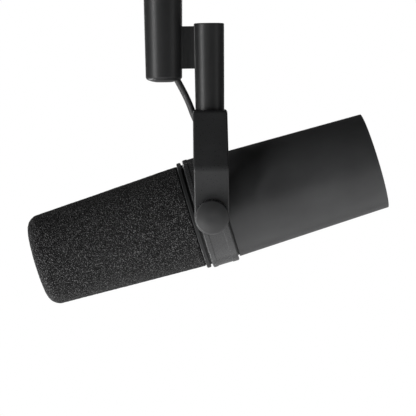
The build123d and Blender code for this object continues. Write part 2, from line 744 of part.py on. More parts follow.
DOME_R = 18.2
DOME_TOP = -78.8
DOME_SPREAD = 22  # degrees of arc from the dome's top to its foot
FILM = 0.2

with BuildPart() as diaphragm:
    with BuildSketch(profile):
        with BuildLine():
            outer_dome = JernArc(start=(0, DOME_TOP), tangent=(1, 0), radius=DOME_R, arc_size=DOME_SPREAD)
            inner_start = (0, DOME_TOP + FILM)
            inner_r = DOME_R - FILM
            inner_dome = JernArc(start=inner_start, tangent=(1, 0), radius=inner_r, arc_size=DOME_SPREAD)
            Polyline(
                outer_dome @ 1,
                (TUBE_BORE_R, DIAPHRAGM_SEAT - FILM),
                (TUBE_BORE_R, DIAPHRAGM_SEAT),
                inner_dome @ 1,
            )
            Line(inner_dome @ 0, outer_dome @ 0)
        make_face()
    revolve(axis=head_axis)

diaphragm.part.label = "diaphragm"
export_step(diaphragm.part, "parts/diaphragm.step")

CAP_R = 12.5
CAP_SKIRT_R = 11.2
CAP_FRONT = -80.2
CAP_UNDER = -79.3
CAP_PLAY = 0.25
CAP_FOOT = DIAPHRAGM_SEAT - CAP_PLAY
CAP_OUTER_HOLES = (7.0, 8, 1.5)  # circle's radius, count, hole's radius
CAP_INNER_HOLES = (3.0, 4, 1.1)

with BuildPart() as capsule_cap:
    ring(CAP_SKIRT_R, CAP_R, CAP_UNDER, CAP_FOOT)
    ring(0, CAP_R, CAP_FRONT, CAP_UNDER)
    with BuildSketch(head.offset(CAP_FRONT)):
        for circle_r, count, hole_r in (CAP_OUTER_HOLES, CAP_INNER_HOLES):
            with PolarLocations(circle_r, count):
                Circle(hole_r)
    extrude(amount=CAP_UNDER - CAP_FRONT, mode=Mode.SUBTRACT)

capsule_cap.part.label = "capsule_cap"
export_step(capsule_cap.part, "parts/capsule_cap.step")

TUBE_WEB = 1.6
TUBE_WEB_BORE_R = 4.0
SHOCK_RINGS = (-66.0, -24.0)  # stations of the two rubber rings
SHOCK_RING_WIDTH = 5.0

with BuildPart() as capsule_tube:
    ring(TUBE_BORE_R, TUBE_R, TUBE_FRONT, TUBE_END)
    ring(TUBE_WEB_BORE_R, TUBE_BORE_R, TUBE_END - TUBE_WEB, TUBE_END)

capsule_tube.part.label = "capsule_tube"
export_step(capsule_tube.part, "parts/capsule_tube.step")

with BuildPart() as shock_rings:
    for ring_start in SHOCK_RINGS:
        ring(TUBE_R, MESH_BORE_R - GAP, ring_start, ring_start + SHOCK_RING_WIDTH)

shock_rings.part.label = "shock_rings"
export_step(shock_rings.part, "parts/shock_rings.step")

BOBBIN_FRONT = -60.0
BOBBIN_END = -49.0
BOBBIN_R = 11.0
BOBBIN_CORE_R = 4.5
BOBBIN_BORE_R = 3.0
BOBBIN_CHEEK = 1.0
HUM_COIL_R = 10.4

with BuildPart() as hum_coil_bobbin:
    ring(BOBBIN_BORE_R, BOBBIN_CORE_R, BOBBIN_FRONT, BOBBIN_END)
    ring(BOBBIN_BORE_R, BOBBIN_R, BOBBIN_FRONT, BOBBIN_FRONT + BOBBIN_CHEEK)
    ring(BOBBIN_BORE_R, BOBBIN_R, BOBBIN_END - BOBBIN_CHEEK, BOBBIN_END)

hum_coil_bobbin.part.label = "hum_coil_bobbin"
export_step(hum_coil_bobbin.part, "parts/hum_coil_bobbin.step")

with BuildPart() as hum_coil:
    ring(BOBBIN_CORE_R, HUM_COIL_R, BOBBIN_FRONT + BOBBIN_CHEEK, BOBBIN_END - BOBBIN_CHEEK)

hum_coil.part.label = "hum_coil"
export_step(hum_coil.part, "parts/hum_coil.step")

# ------------------------------------------------------------------ rear shell and plate

LEDGE_R = 21.8  # the rear plate rests on this inner ledge
LEDGE_THICK = 2.0
PLATE_PLAY = 0.1
SHELL_BORE_R = SHELL_START_R - SHELL_WALL
SHELL_RIM_R = 0.9
HOUSING_GASKET_R = 27.2
HOLE_MARGIN = 0.2
HOLE_REACH = 7.2  # far enough for the lead's hole to go right through the wall
lead_way = Plane(origin=head_point(0, LEAD_ENTRY), x_dir=(0, 1, 0), z_dir=upward)

with BuildPart() as rear_housing:
    with BuildSketch(profile) as shell_outline:
        with BuildLine():
            Polyline(
                (SHELL_BORE_R, SHELL_START),
                (SHELL_START_R, SHELL_START),
                (SHELL_END_R, SHELL_END),
                (PLATE_R + PLATE_PLAY, SHELL_END),
                (PLATE_R + PLATE_PLAY, PLATE_START),
                (LEDGE_R, PLATE_START),
                (LEDGE_R, PLATE_START - LEDGE_THICK),
                (SHELL_END_R - SHELL_WALL, PLATE_START - 2 * LEDGE_THICK),
                close=True,
            )
        make_face()
        outer_corners = shell_outline.vertices().filter_by(lambda v: v.X > SHELL_END_R - 0.1)
        fillet(outer_corners.group_by(Axis.Y)[0], BASE_CHAMFER)
        fillet(outer_corners.group_by(Axis.Y)[-1], SHELL_RIM_R)
    revolve(axis=head_axis)
    drill(lead_way.offset(PLATE_R), [(0, 0)], GROMMET_R + HOLE_MARGIN, HOLE_REACH)

rear_housing.part.label = "rear_housing"
export_step(rear_housing.part, "parts/rear_housing.step")

with BuildPart() as housing_gasket:
    ring(SPIGOT_R, HOUSING_GASKET_R, BAND_END, SHELL_START)

housing_gasket.part.label = "housing_gasket"
export_step(housing_gasket.part, "parts/housing_gasket.step")

GROMMET_FOOT = 24.0
GROMMET_FOOT_R = 2.9
GROMMET_FOOT_THICK = 1.1
GROMMET_COLLAR = 28.15
GROMMET_COLLAR_R = 3.4
GROMMET_TOP = 29.3

with BuildPart() as lead_grommet:
    drill(lead_way.offset(GROMMET_FOOT), [(0, 0)], GROMMET_FOOT_R, GROMMET_FOOT_THICK, mode=Mode.ADD)
    drill(lead_way.offset(GROMMET_FOOT), [(0, 0)], GROMMET_R, GROMMET_TOP - GROMMET_FOOT, mode=Mode.ADD)
    drill(
        lead_way.offset(GROMMET_COLLAR),
        [(0, 0)],
        GROMMET_COLLAR_R,
        GROMMET_TOP - GROMMET_COLLAR,
        mode=Mode.ADD,
    )
    drill(lead_way.offset(GROMMET_FOOT), [(0, 0)], LEAD_R + LEAD_PLAY, GROMMET_TOP - GROMMET_FOOT)

lead_grommet.part.label = "lead_grommet"
export_step(lead_grommet.part, "parts/lead_grommet.step")

ROD_SPREAD = 27.6
ROD_R = 2.0
ROD_TAPPING = 8.0  # depth of the screw's hole in the rod's end
PLATE_SCREW_R = 1.25
PLATE_RECESS = 0.7
PLATE_RECESS_R = 2.4
WINDOW_ACROSS = 8.0
WINDOW = (3.2, 6.6)
WINDOW_RECESS = (7.4, 11.0, 1.2)  # width, height and corner radius
WINDOW_HALF_TRAVEL = 1.5

with BuildPart() as tie_rods:
    with BuildSketch(head.offset(BULKHEAD_END)):
        with GridLocations(ROD_SPREAD, ROD_SPREAD, 2, 2):
            Circle(ROD_R)
    extrude(amount=PLATE_START - BULKHEAD_END)
    with BuildSketch(head.offset(PLATE_START)):
        with GridLocations(ROD_SPREAD, ROD_SPREAD, 2, 2):
            Circle(PLATE_SCREW_R)
    extrude(amount=-ROD_TAPPING, mode=Mode.SUBTRACT)

tie_rods.part.label = "tie_rods"
export_step(tie_rods.part, "parts/tie_rods.step")

with BuildPart() as back_plate:
    ring(0, PLATE_R, PLATE_START, PLATE_START + PLATE_THICK)
    with BuildSketch(head.offset(PLATE_START)):
        with GridLocations(ROD_SPREAD, ROD_SPREAD, 2, 2):
            Circle(PLATE_SCREW_R)
        with GridLocations(2 * WINDOW_ACROSS, 0, 2, 1):
            Rectangle(*WINDOW)
    extrude(amount=PLATE_THICK, mode=Mode.SUBTRACT)
    with BuildSketch(head.offset(PLATE_START + PLATE_THICK)):
        with GridLocations(ROD_SPREAD, ROD_SPREAD, 2, 2):
            Circle(PLATE_RECESS_R)
        with GridLocations(2 * WINDOW_ACROSS, 0, 2, 1):
            RectangleRounded(*WINDOW_RECESS)
    extrude(amount=-PLATE_RECESS, mode=Mode.SUBTRACT)

back_plate.part.label = "back_plate"
export_step(back_plate.part, "parts/back_plate.step")

PLATE_HEAD_START = PLATE_START + PLATE_THICK - PLATE_RECESS
PLATE_HEAD_R = 2.3
PLATE_HEAD_THICK = 1.2
PLATE_SHANK = 6.0  # length of the screw within the rod
CROSS_LENGTH = 2.8
CROSS_WIDTH = 0.6
CROSS_DEPTH = 0.7

with BuildPart() as back_plate_screws:
    with BuildSketch(head.offset(PLATE_HEAD_START)):
        with GridLocations(ROD_SPREAD, ROD_SPREAD, 2, 2):
            Circle(PLATE_HEAD_R)
    extrude(amount=PLATE_HEAD_THICK)
    with BuildSketch(head.offset(PLATE_START - PLATE_SHANK)):
        with GridLocations(ROD_SPREAD, ROD_SPREAD, 2, 2):
            Circle(PLATE_SCREW_R)
    extrude(amount=PLATE_HEAD_START - PLATE_START + PLATE_SHANK)
    with BuildSketch(head.offset(PLATE_HEAD_START + PLATE_HEAD_THICK)):
        with GridLocations(ROD_SPREAD, ROD_SPREAD, 2, 2):
            Rectangle(CROSS_LENGTH, CROSS_WIDTH)
            Rectangle(CROSS_WIDTH, CROSS_LENGTH)
    extrude(amount=-CROSS_DEPTH, mode=Mode.SUBTRACT)

back_plate_screws.part.label = "back_plate_screws"
export_step(back_plate_screws.part, "parts/back_plate_screws.step")

# ------------------------------------------------------------------ slide switches

SWITCH_WIDTH = 8.0
SWITCH_HEIGHT = 12.0
SWITCH_START = 80.4
TRACK = (4.8, 8.6)  # the slider's track inside the switch
TRACK_START = 85.6
TRACK_END = 87.6
SLIDER_FOOT = (4.2, 5.0)
SLIDER_START = 86.0
SLIDER_FOOT_END = 87.3
SLIDER_STEM = (2.6, 3.0)
SLIDER_END = 90.0
SLIDER_SLOT = 0.8

for name, side in (("low_cut", -1), ("presence", 1)):
    with BuildPart() as switch_body:
        spot = {"across": side * WINDOW_ACROSS}
        block(SWITCH_WIDTH, SWITCH_HEIGHT, SWITCH_START, PLATE_START, **spot)
        block(*TRACK, TRACK_START, TRACK_END, **spot, mode=Mode.SUBTRACT)
        block(*WINDOW, TRACK_END, PLATE_START, **spot, mode=Mode.SUBTRACT)

    switch_body.part.label = f"{name}_switch"
    export_step(switch_body.part, f"parts/{name}_switch.step")

    with BuildPart() as slider:
        spot = {"across": side * WINDOW_ACROSS, "up": -WINDOW_HALF_TRAVEL}
        block(*SLIDER_FOOT, SLIDER_START, SLIDER_FOOT_END, **spot)
        block(*SLIDER_STEM, SLIDER_FOOT_END, SLIDER_END, **spot)
        slot_start = SLIDER_END - SLIDER_SLOT / 2
        block(SLIDER_STEM[0], SLIDER_SLOT, slot_start, SLIDER_END, **spot, mode=Mode.SUBTRACT)

    slider.part.label = f"{name}_slider"
    export_step(slider.part, f"parts/{name}_slider.step")

# ------------------------------------------------------------------ inner frame and board

TRAY_TOP = -6.8
TRAY_WIDTH = 32.0
TRAY_THICK = 1.2
TAB_HEIGHT = 8.0
FRONT_TAB_WIDTH = 19.0
REAR_TAB_WIDTH = 17.0
BOARD_UNDER = -4.0
BOARD_TOP = -2.4
BOARD_START = 8.0
BOARD_END = 80.0
BOARD_WIDTH = 34.0
FIXINGS = (62.0, 26.0, 2, 2)  # the board's four screws, along and across
FIXING_R = 1.2
FIXING_HEAD_R = 2.2
FIXING_HEAD = 1.4
STANDOFF_R = 2.4
board_middle = (BOARD_START + BOARD_END) / 2
over_tray = Plane(origin=head_point(TRAY_TOP, board_middle), x_dir=rearward, z_dir=upward)

with BuildPart() as chassis_tray:
    tab_middle = TRAY_TOP - TRAY_THICK - TAB_HEIGHT / 2
    block(TRAY_WIDTH, TRAY_THICK, BULKHEAD_END, PLATE_START, up=TRAY_TOP - TRAY_THICK / 2)
    block(FRONT_TAB_WIDTH, TAB_HEIGHT, BULKHEAD_END, BULKHEAD_END + TRAY_THICK, up=tab_middle)
    block(REAR_TAB_WIDTH, TAB_HEIGHT, PLATE_START - TRAY_THICK, PLATE_START, up=tab_middle)
    with BuildSketch(over_tray):
        with GridLocations(*FIXINGS):
            Circle(FIXING_R)
    extrude(amount=-TRAY_THICK, mode=Mode.SUBTRACT)

chassis_tray.part.label = "chassis_tray"
export_step(chassis_tray.part, "parts/chassis_tray.step")

with BuildPart() as board_standoffs:
    with BuildSketch(over_tray):
        with GridLocations(*FIXINGS):
            RegularPolygon(STANDOFF_R, 6)
            Circle(FIXING_R, mode=Mode.SUBTRACT)
    extrude(amount=BOARD_UNDER - TRAY_TOP)

board_standoffs.part.label = "board_standoffs"
export_step(board_standoffs.part, "parts/board_standoffs.step")

with BuildPart() as circuit_board:
    block(BOARD_WIDTH, BOARD_TOP - BOARD_UNDER, BOARD_START, BOARD_END, up=(BOARD_TOP + BOARD_UNDER) / 2)
    with BuildSketch(over_tray):
        with GridLocations(*FIXINGS):
            Circle(FIXING_R)
    extrude(amount=BOARD_TOP - TRAY_TOP, mode=Mode.SUBTRACT)

circuit_board.part.label = "circuit_board"
export_step(circuit_board.part, "parts/circuit_board.step")

on_board = over_tray.offset(BOARD_TOP - TRAY_TOP)

with BuildPart() as board_screws:
    with BuildSketch(over_tray.offset(-TRAY_THICK)):
        with GridLocations(*FIXINGS):
            Circle(FIXING_R)
    extrude(amount=BOARD_TOP - TRAY_TOP + TRAY_THICK)
    with BuildSketch(on_board):
        with GridLocations(*FIXINGS):
            Circle(FIXING_HEAD_R)
    extrude(amount=FIXING_HEAD)

board_screws.part.label = "board_screws"
export_step(board_screws.part, "parts/board_screws.step")

# ------------------------------------------------------------------ transformer and filters

CORE_START = 44.0
CORE_END = 56.0
CORE_WIDTH = 19.0
CORE_HEIGHT = 15.0
CORE_WINDOW = (4.0, 9.0)
LIMB = 5.0
WINDING = (12.6, 8.8)
WINDING_OVERHANG = 3.5
core_middle = BOARD_TOP + CORE_HEIGHT / 2

with BuildPart() as transformer_core:
    block(CORE_WIDTH, CORE_HEIGHT, CORE_START, CORE_END, up=core_middle)
    for side in (-1, 1):
        window_across = side * (LIMB + CORE_WINDOW[0]) / 2
        block(*CORE_WINDOW, CORE_START, CORE_END, across=window_across, up=core_middle, mode=Mode.SUBTRACT)

transformer_core.part.label = "transformer_core"
export_step(transformer_core.part, "parts/transformer_core.step")

with BuildPart() as transformer_winding:
    block(*WINDING, CORE_START - WINDING_OVERHANG, CORE_END + WINDING_OVERHANG, up=core_middle)
    block(LIMB, WINDING[1], CORE_START, CORE_END, up=core_middle, mode=Mode.SUBTRACT)

transformer_winding.part.label = "transformer_winding"
export_step(transformer_winding.part, "parts/transformer_winding.step")

CHOKE_SPOT = (26, 0)  # along and across from the board's middle
CHOKE_R = 6.2
CHOKE_BORE_R = 1.4
CHOKE_HEIGHT = 8.5

with BuildPart() as filter_choke:
    drill(on_board, [CHOKE_SPOT], CHOKE_R, CHOKE_HEIGHT, mode=Mode.ADD)
    drill(on_board, [CHOKE_SPOT], CHOKE_BORE_R, CHOKE_HEIGHT)

filter_choke.part.label = "filter_choke"
export_step(filter_choke.part, "parts/filter_choke.step")

CAPACITOR = (5.5, 7.0, 0.8)  # length, width and corner radius
CAPACITOR_HEIGHT = 8.0
CAPACITOR_GROUP = (-8, 0)  # middle of the four, from the board's middle
CAPACITOR_GRID = (8, 20, 2, 2)

with BuildPart() as filter_capacitors:
    with BuildSketch(on_board):
        with Locations(CAPACITOR_GROUP):
            with GridLocations(*CAPACITOR_GRID):
                RectangleRounded(*CAPACITOR)
    extrude(amount=CAPACITOR_HEIGHT)

filter_capacitors.part.label = "filter_capacitors"
export_step(filter_capacitors.part, "parts/filter_capacitors.step")

WIRE_R = 0.5
WIRE_SPREAD = 5.2
WIRE_START = -48.5
WIRE_END = 20.0

with BuildPart() as capsule_wires:
    with BuildSketch(head.offset(WIRE_START)):
        with Locations((0, BOARD_TOP + WIRE_R)):
            with GridLocations(WIRE_SPREAD, 0, 2, 1):
                Circle(WIRE_R)
    extrude(amount=WIRE_END - WIRE_START)

capsule_wires.part.label = "capsule_wires"
export_step(capsule_wires.part, "parts/capsule_wires.step")
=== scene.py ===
import json
import math

import bmesh
import bpy
from mathutils import Matrix, Vector, noise


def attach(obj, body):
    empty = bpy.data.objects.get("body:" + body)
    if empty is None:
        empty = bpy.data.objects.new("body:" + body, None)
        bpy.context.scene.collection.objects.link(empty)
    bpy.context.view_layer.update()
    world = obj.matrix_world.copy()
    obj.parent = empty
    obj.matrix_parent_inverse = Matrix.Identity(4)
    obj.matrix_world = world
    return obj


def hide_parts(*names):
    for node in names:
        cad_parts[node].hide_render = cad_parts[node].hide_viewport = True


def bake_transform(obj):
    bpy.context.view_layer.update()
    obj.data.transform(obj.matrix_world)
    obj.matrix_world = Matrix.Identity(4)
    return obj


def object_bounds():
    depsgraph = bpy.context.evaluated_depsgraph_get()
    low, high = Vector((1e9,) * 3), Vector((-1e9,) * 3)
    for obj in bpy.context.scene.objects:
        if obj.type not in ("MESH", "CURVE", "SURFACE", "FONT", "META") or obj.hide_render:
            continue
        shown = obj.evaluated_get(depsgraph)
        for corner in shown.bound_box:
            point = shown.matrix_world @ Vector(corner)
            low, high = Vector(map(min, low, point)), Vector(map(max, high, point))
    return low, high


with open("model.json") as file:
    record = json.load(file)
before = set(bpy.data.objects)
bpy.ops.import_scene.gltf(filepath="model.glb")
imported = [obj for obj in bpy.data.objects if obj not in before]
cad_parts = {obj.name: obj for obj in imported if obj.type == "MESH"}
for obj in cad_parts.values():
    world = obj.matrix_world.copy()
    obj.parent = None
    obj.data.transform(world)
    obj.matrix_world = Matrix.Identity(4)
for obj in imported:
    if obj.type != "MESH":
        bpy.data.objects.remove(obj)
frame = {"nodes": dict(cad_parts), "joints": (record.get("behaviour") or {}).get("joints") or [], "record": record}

cad_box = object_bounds()

# ------------------------------------------------------------------ the head's own frame

MM = 0.001
REST_TILT = math.radians(16.2)
joints = {joint["name"]: joint for joint in frame["joints"]}
pivot = Vector(joints["mic_tilt"]["pos_m"])
rearward = Vector((math.cos(REST_TILT), 0, math.sin(REST_TILT)))
upward = Vector((-math.sin(REST_TILT), 0, math.cos(REST_TILT)))
sideways = Vector((0, 1, 0))


def head_place(across, up, station):
    """A point in the head, in mm across, up and along its axis, as a place in metres."""
    return pivot + (sideways * across + upward * up + rearward * station) * MM


# ------------------------------------------------------------------ camera

LENS = 150.0
SENSOR = 36.0
CAMERA_DISTANCE = 0.93
CAMERA_AZIMUTH = math.radians(-0.6)
CAMERA_ELEVATION = math.radians(4.4)
CAMERA_ROLL = math.radians(-0.65)
CLIP_NEAR = 0.01
CLIP_FAR = 50
AIM_FROM_PIVOT = Vector((-1.6, 0, 1.2))  # mm
aim = pivot + AIM_FROM_PIVOT * MM

camera_data = bpy.data.cameras.new("camera")
camera_data.lens = LENS
camera_data.sensor_width = SENSOR
camera_data.clip_start = CLIP_NEAR
camera_data.clip_end = CLIP_FAR
camera = bpy.data.objects.new("camera", camera_data)
bpy.context.scene.collection.objects.link(camera)
outward = Vector((
    math.sin(CAMERA_AZIMUTH) * math.cos(CAMERA_ELEVATION),
    -math.cos(CAMERA_AZIMUTH) * math.cos(CAMERA_ELEVATION),
    math.sin(CAMERA_ELEVATION),
))
camera.location = aim + outward * CAMERA_DISTANCE
facing = (-outward).to_track_quat("-Z", "Y").to_matrix().to_4x4()
roll = Matrix.Rotation(CAMERA_ROLL, 4, "Z")
camera.matrix_world = Matrix.Translation(camera.location) @ facing @ roll
bpy.context.scene.camera = camera

# ------------------------------------------------------------------ node helpers

NOISE_DETAIL = 3.0
NOISE_ROUGHNESS = 0.55


def new_material(name):
    """An empty material with a Principled shader and object coordinates."""
    material = bpy.data.materials.new(name)
    material.use_nodes = True
    tree = material.node_tree
    shader = tree.nodes["Principled BSDF"]
    place = tree.nodes.new("ShaderNodeTexCoord").outputs["Object"]
    return material, tree, shader, place


def noise_node(tree, place, scale, detail=NOISE_DETAIL, rough=NOISE_ROUGHNESS):
    """Fractal noise; scale is in features to the metre."""
    node = tree.nodes.new("ShaderNodeTexNoise")
    node.inputs["Scale"].default_value = scale
    node.inputs["Detail"].default_value = detail
    node.inputs["Roughness"].default_value = rough
    tree.links.new(place, node.inputs["Vector"])
    return node.outputs["Fac"]


def ramp(tree, value, stops):
    """A colour ramp from (position, grey or colour) stops."""
    node = tree.nodes.new("ShaderNodeValToRGB")
    elements = node.color_ramp.elements
    while len(elements) < len(stops):
        elements.new(0.5)
    for element, (position, colour) in zip(elements, stops):
        element.position = position
        element.color = (*colour, 1) if hasattr(colour, "__len__") else (colour, colour, colour, 1)
    tree.links.new(value, node.inputs["Fac"])
    return node.outputs["Color"]


def bump(tree, height, distance, strength=1.0, under=None):
    """A bump of a height field, in metres, over another normal."""
    node = tree.nodes.new("ShaderNodeBump")
    node.inputs["Strength"].default_value = strength
    node.inputs["Distance"].default_value = distance
    tree.links.new(height, node.inputs["Height"])
    if under:
        tree.links.new(under, node.inputs["Normal"])
    return node.outputs["Normal"]


def shades(colour, low, high):
    """A colour darkened and lightened."""
    return tuple(c * low for c in colour), tuple(c * high for c in colour)


# ------------------------------------------------------------------ kinds of finish

# How many features of each pattern there are to the metre
CLOUDS = 45
DRIFT = 70
DUST = 380
WINDING_TURNS = 900
BOARD_TRACKS = 220
FOAM_CELLS = 1250
FOAM_WANDER = 900
FOAM_GLINTS = 2000
FOAM_FUZZ = 2600

# Heights of the bumps, in metres
MOULD_BUMP = 0.00003
BRUSH_BUMP = 0.00001
DUST_BUMP = 0.00003
WIRE_BUMP = 0.0001
TRACK_BUMP = 0.00005
CELL_BUMP = 0.0006
FUZZ_BUMP = 0.0003

SPECKS_TO_GRAIN = 2.7  # how much finer an enamel's specks are than its grain
BRUSH_STRETCH = (0.15, 1.0, 1.0)  # machining marks are drawn out along X
WANDER_REACH = 0.0008  # how far the foam's cells are pushed about, m
GLINT_BRIGHTNESS = 0.14  # how bright the foam's painted glints are


def enamel(name, colour, roughness, grain, depth, gloss_level=0.35):
    """Satin enamel: fine orange-peel grain, cloudy gloss and a little colour drift."""
    material, tree, shader, place = new_material(name)
    shader.inputs["Specular IOR Level"].default_value = gloss_level
    dark, light = shades(colour, 0.82, 1.2)
    clouds = noise_node(tree, place, CLOUDS, detail=4)
    tree.links.new(ramp(tree, clouds, [(0.3, dark), (0.7, light)]), shader.inputs["Base Color"])
    peel = noise_node(tree, place, grain, detail=2)
    gloss = ramp(tree, peel, [(0.3, roughness - 0.06), (0.7, roughness + 0.07)])
    tree.links.new(gloss, shader.inputs["Roughness"])
    fine = bump(tree, peel, depth, 0.6)
    specks = noise_node(tree, place, grain * SPECKS_TO_GRAIN, detail=1)
    tree.links.new(bump(tree, specks, depth * 0.5, 0.5, under=fine), shader.inputs["Normal"])
    return material


def moulding(name, colour, roughness, grain=1500):
    """Moulded plastic with a fine spark-eroded texture."""
    material, tree, shader, place = new_material(name)
    dark, light = shades(colour, 0.85, 1.15)
    drift = noise_node(tree, place, DRIFT)
    tree.links.new(ramp(tree, drift, [(0.35, dark), (0.65, light)]), shader.inputs["Base Color"])
    texture = noise_node(tree, place, grain, detail=2)
    gloss = ramp(tree, texture, [(0.3, roughness - 0.05), (0.7, roughness + 0.08)])
    tree.links.new(gloss, shader.inputs["Roughness"])
    tree.links.new(bump(tree, texture, MOULD_BUMP, 0.5), shader.inputs["Normal"])
    return material


def metal(name, colour, roughness, brushed=900):
    """Bare or plated metal with fine machining marks."""
    material, tree, shader, place = new_material(name)
    shader.inputs["Metallic"].default_value = 1.0
    stretch = tree.nodes.new("ShaderNodeMapping")
    stretch.inputs["Scale"].default_value = BRUSH_STRETCH
    tree.links.new(place, stretch.inputs["Vector"])
    dark, light = shades(colour, 0.8, 1.1)
    marks = noise_node(tree, stretch.outputs["Vector"], brushed, detail=3)
    tree.links.new(ramp(tree, marks, [(0.3, dark), (0.7, light)]), shader.inputs["Base Color"])
    gloss = ramp(tree, marks, [(0.25, roughness - 0.07), (0.75, roughness + 0.1)])
    tree.links.new(gloss, shader.inputs["Roughness"])
    tree.links.new(bump(tree, marks, BRUSH_BUMP, 0.4), shader.inputs["Normal"])
    return material


def rubber(name, colour, roughness):
    """Matt rubber or cable jacket, faintly dusty."""
    material, tree, shader, place = new_material(name)
    dark, light = shades(colour, 0.75, 1.4)
    dust = noise_node(tree, place, DUST, detail=5)
    tree.links.new(ramp(tree, dust, [(0.35, dark), (0.72, light)]), shader.inputs["Base Color"])
    gloss = ramp(tree, dust, [(0.3, roughness - 0.06), (0.7, roughness + 0.1)])
    tree.links.new(gloss, shader.inputs["Roughness"])
    tree.links.new(bump(tree, dust, DUST_BUMP, 0.5), shader.inputs["Normal"])
    return material


def winding(name, colour):
    """Fine enamelled wire, wound in layers."""
    material, tree, shader, place = new_material(name)
    shader.inputs["Metallic"].default_value = 0.85
    bands = tree.nodes.new("ShaderNodeTexWave")
    bands.inputs["Scale"].default_value = WINDING_TURNS
    bands.inputs["Distortion"].default_value = 1.5
    tree.links.new(place, bands.inputs["Vector"])
    dark, light = shades(colour, 0.6, 1.2)
    tree.links.new(ramp(tree, bands.outputs["Fac"], [(0.2, dark), (0.8, light)]), shader.inputs["Base Color"])
    shader.inputs["Roughness"].default_value = 0.35
    tree.links.new(bump(tree, bands.outputs["Fac"], WIRE_BUMP, 0.8), shader.inputs["Normal"])
    return material


def laminate(name, colour):
    """A circuit board: solder resist over faint tracks."""
    material, tree, shader, place = new_material(name)
    tracks = tree.nodes.new("ShaderNodeTexBrick")
    tracks.inputs["Scale"].default_value = BOARD_TRACKS
    tracks.inputs["Mortar Size"].default_value = 0.05
    dark, light = shades(colour, 0.7, 1.5)
    tracks.inputs["Color1"].default_value = (*colour, 1)
    tracks.inputs["Color2"].default_value = (*dark, 1)
    tracks.inputs["Mortar"].default_value = (*light, 1)
    tree.links.new(place, tracks.inputs["Vector"])
    tree.links.new(tracks.outputs["Color"], shader.inputs["Base Color"])
    shader.inputs["Roughness"].default_value = 0.3
    tree.links.new(bump(tree, tracks.outputs["Fac"], TRACK_BUMP, 0.5), shader.inputs["Normal"])
    return material


def open_foam(name, colour):
    """Open-cell foam: painted shade in the pores and painted light on the fuzzy cell walls, with painted glints as
    lighter specks on their edges.
    """
    material, tree, shader, place = new_material(name)
    cells = tree.nodes.new("ShaderNodeTexVoronoi")
    cells.inputs["Scale"].default_value = FOAM_CELLS
    warp = tree.nodes.new("ShaderNodeMixRGB")
    warp.blend_type = "ADD"
    warp.inputs["Fac"].default_value = WANDER_REACH
    wander = tree.nodes.new("ShaderNodeTexNoise")
    wander.inputs["Scale"].default_value = FOAM_WANDER
    tree.links.new(place, wander.inputs["Vector"])
    tree.links.new(place, warp.inputs["Color1"])
    tree.links.new(wander.outputs["Color"], warp.inputs["Color2"])
    tree.links.new(warp.outputs["Color"], cells.inputs["Vector"])
    # Painted shade and light: each cell's centre is darkened to a tenth of the foam's colour as shade in the pore,
    # and its walls are painted lighter as if lit
    dark, light = shades(colour, 0.1, 1.7)
    pores = ramp(tree, cells.outputs["Distance"], [(0.15, dark), (0.42, colour), (0.75, light)])
    # Painted glints: lighter noise specks added to the foam's colour as highlights on its cell walls
    glint_noise = noise_node(tree, place, FOAM_GLINTS, detail=1, rough=0.6)
    painted_glints = ramp(tree, glint_noise, [(0.54, 0.0), (0.71, GLINT_BRIGHTNESS)])
    mix = tree.nodes.new("ShaderNodeMixRGB")
    mix.blend_type = "ADD"
    mix.inputs["Fac"].default_value = 1.0
    tree.links.new(pores, mix.inputs["Color1"])
    tree.links.new(painted_glints, mix.inputs["Color2"])
    tree.links.new(mix.outputs["Color"], shader.inputs["Base Color"])
    shader.inputs["Roughness"].default_value = 0.95
    shader.inputs["Specular IOR Level"].default_value = 0.15
    coarse = bump(tree, cells.outputs["Distance"], CELL_BUMP, 0.9)
    fuzz = noise_node(tree, place, FOAM_FUZZ, detail=2)
    tree.links.new(bump(tree, fuzz, FUZZ_BUMP, 0.8, under=coarse), shader.inputs["Normal"])
    return material


# ------------------------------------------------------------------ a finish for each slot

